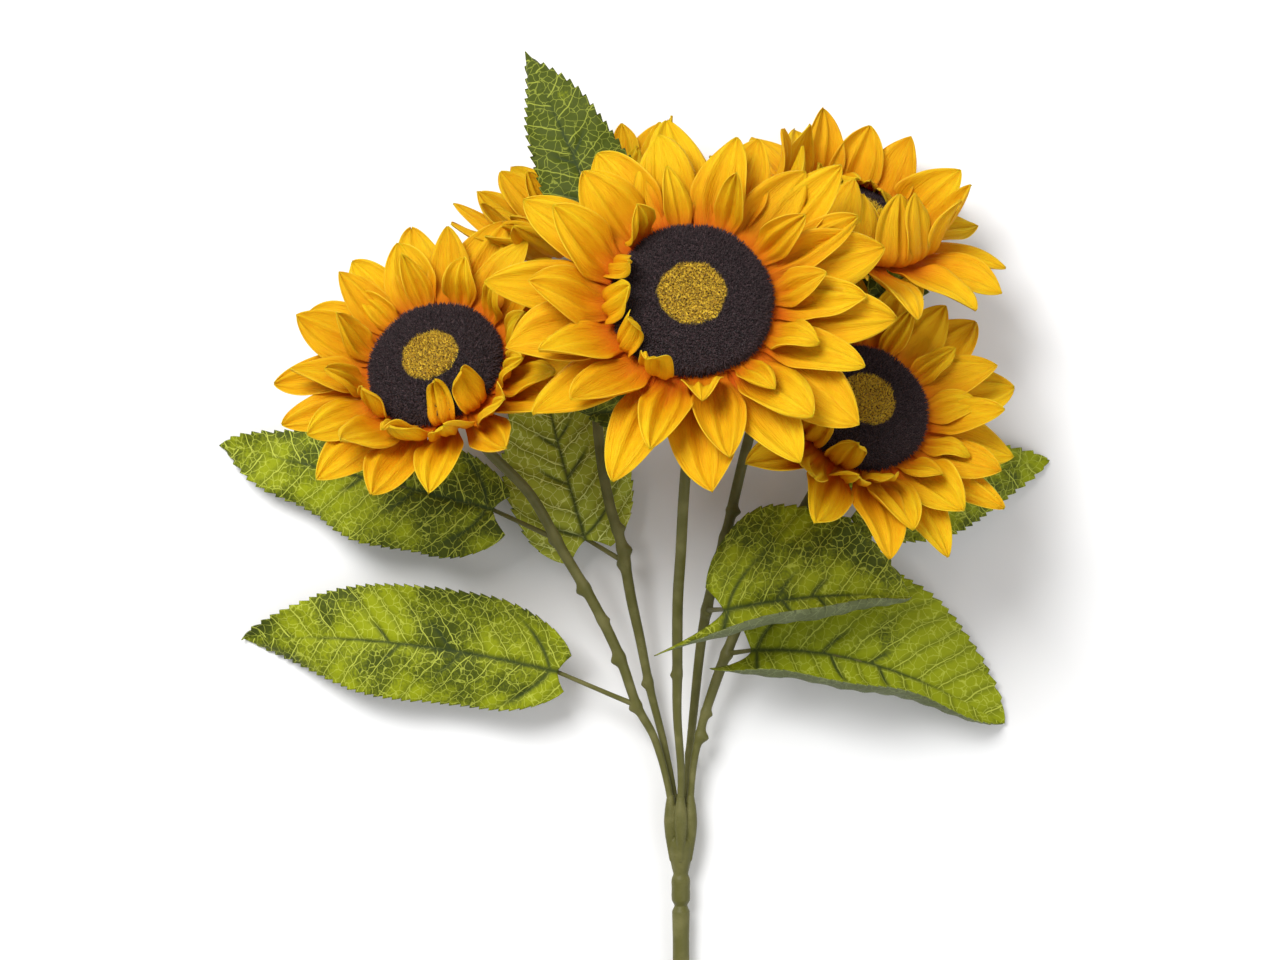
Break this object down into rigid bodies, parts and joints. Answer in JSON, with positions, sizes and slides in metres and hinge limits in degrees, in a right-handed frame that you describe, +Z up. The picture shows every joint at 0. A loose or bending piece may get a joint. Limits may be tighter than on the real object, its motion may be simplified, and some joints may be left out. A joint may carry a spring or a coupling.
{
  "type": "bunch of sunflowers",
  "caption": "Branched bush of cloth sunflowers with flocked discs and printed leaves on moulded green stems, lying on its back.",
  "frame": {"origin": "on the table, under the middle of the whole bunch's box", "axes": "+Y from the cut end of the main stem towards the heads, +X to the right of the heads, +Z up from the table"},
  "size_m": [0.3604, 0.4642, 0.1648],
  "materials": {
    "petal_cloth": "matt polyester cloth, heat pressed",
    "leaf_cloth": "printed polyester cloth with a light coating",
    "disc_flock": "short flock pile",
    "green_plastic": "moulded polyethylene, satin to matt"
  },
  "bodies": {
    "root": {"outer_petals_1": "petal_cloth", "middle_petals_1": "petal_cloth", "inner_petals_1": "petal_cloth", "disc_1": "disc_flock", "calyx_1": "green_plastic", "stem_1": "green_plastic", "outer_petals_2": "petal_cloth", "middle_petals_2": "petal_cloth", "inner_petals_2": "petal_cloth", "disc_2": "disc_flock", "calyx_2": "green_plastic", "stem_2": "green_plastic", "outer_petals_3": "petal_cloth", "middle_petals_3": "petal_cloth", "inner_petals_3": "petal_cloth", "disc_3": "disc_flock", "calyx_3": "green_plastic", "stem_3": "green_plastic", "outer_petals_4": "petal_cloth", "middle_petals_4": "petal_cloth", "inner_petals_4": "petal_cloth", "disc_4": "disc_flock", "calyx_4": "green_plastic", "stem_4": "green_plastic", "outer_petals_5": "petal_cloth", "middle_petals_5": "petal_cloth", "inner_petals_5": "petal_cloth", "disc_5": "disc_flock", "calyx_5": "green_plastic", "stem_5": "green_plastic", "collar_and_main_stem": "green_plastic", "leaf_1": "leaf_cloth", "petiole_1": "green_plastic", "leaf_2": "leaf_cloth", "petiole_2": "green_plastic", "leaf_3": "leaf_cloth", "petiole_3": "green_plastic", "leaf_4": "leaf_cloth", "petiole_4": "green_plastic", "leaf_5": "leaf_cloth", "petiole_5": "green_plastic", "leaf_6": "leaf_cloth", "petiole_6": "green_plastic", "leaf_7": "leaf_cloth", "petiole_7": "green_plastic", "leaf_8": "leaf_cloth", "petiole_8": "green_plastic", "leaf_9": "leaf_cloth", "petiole_9": "green_plastic"}
  },
  "joints": []
}
